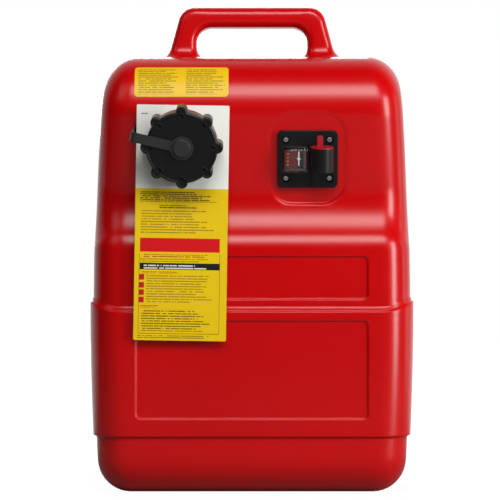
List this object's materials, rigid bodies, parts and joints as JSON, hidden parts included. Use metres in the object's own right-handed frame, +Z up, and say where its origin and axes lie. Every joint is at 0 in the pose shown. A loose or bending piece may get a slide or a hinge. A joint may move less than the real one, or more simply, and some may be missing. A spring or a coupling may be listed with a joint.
{
  "type": "portable marine fuel tank",
  "caption": "Portable plastic fuel tank with a carrying handle, tethered vented cap, float gauge and fuel line outlet.",
  "frame": {"origin": "under the middle of the tank as it stands on its end, at the lowest point", "axes": "+Z up along the tank to its handle, -Y out of the front face with the cap and the gauge, +X to the right seen from the front"},
  "size_m": [0.3558, 0.2432, 0.54],
  "materials": {
    "red_polyethylene": "satin",
    "card_stock": "matte",
    "sticker_film": "satin",
    "black_plastic": "satin",
    "tether_plastic": "matte",
    "black_rubber": "matte",
    "red_plug_plastic": "satin",
    "bright_steel": "bright",
    "insert_brass": "satin",
    "clear_lens": "clear",
    "dial_plastic": "gloss",
    "float_foam": "matte",
    "tube_plastic": "satin"
  },
  "bodies": {
    "tank": {"tank_shell": "red_polyethylene", "shoulder_sticker": "sticker_film", "neck_ring": "tether_plastic", "gauge_plate": "black_plastic", "plate_gasket": "black_rubber", "plate_screws": "bright_steel", "threaded_inserts": "insert_brass", "gauge_lens": "clear_lens", "pivot_pin": "bright_steel", "outlet_barrel": "black_plastic", "barrel_end_plug": "black_plastic", "valve_spring": "bright_steel", "pickup_tube": "tube_plastic", "pickup_strainer": "tube_plastic"},
    "tether": {"cap_tether": "tether_plastic"},
    "cap": {"cap_shell": "black_plastic", "cap_insert": "black_plastic", "cap_gasket": "black_rubber", "cap_button": "tether_plastic", "vent_cage": "black_plastic", "vent_spring": "bright_steel"},
    "vent_valve": {"vent_poppet": "red_plug_plastic"},
    "card": {"hang_card": "card_stock"},
    "float": {"gauge_dial": "dial_plastic", "float_arm": "bright_steel", "fuel_float": "float_foam", "float_clip": "bright_steel"},
    "fuel_valve": {"outlet_valve": "insert_brass"},
    "plug": {"dust_plug": "red_plug_plastic"}
  },
  "joints": [
    {"name": "cap_lift", "type": "slide", "parent": "tank", "child": "tether", "axis": [0, -0.9816, -0.1908], "range_m": [0, 0.00901]},
    {"name": "cap_turn", "type": "hinge", "parent": "tether", "child": "cap", "pos_m": [-0.075, -0.05947, 0.3855], "axis": [0, -0.9816, -0.1908], "range_deg": [0, 540]},
    {"name": "vent_open", "type": "slide", "parent": "cap", "child": "vent_valve", "axis": [0, -0.9816, -0.1908], "range_m": [0, 0.0025], "stiffness_N_per_m": 200, "springref_m": -0.002, "deforming": ["vent_spring"]},
    {"name": "card_swing", "type": "hinge", "parent": "tank", "child": "card", "pos_m": [-0.075, -0.0763, 0.38223], "axis": [0, 1, 0], "range_deg": [-2, 20]},
    {"name": "float_swing", "type": "hinge", "parent": "tank", "child": "float", "pos_m": [0.0473, -0.05945, 0.36547], "axis": [0, -0.1908, 0.9816], "range_deg": [-30, 30]},
    {"name": "valve_push", "type": "slide", "parent": "tank", "child": "fuel_valve", "axis": [0, 0.1908, -0.9816], "range_m": [0, 0.003], "stiffness_N_per_m": 400, "springref_m": -0.002, "deforming": ["valve_spring"]},
    {"name": "plug_pull", "type": "slide", "parent": "tank", "child": "plug", "axis": [0, -0.1908, 0.9816], "range_m": [0, 0.02]}
  ],
  "couplings": [
    {"joint": "cap_lift", "follows": "cap_turn", "m_per_rad": 0.00095493}
  ]
}
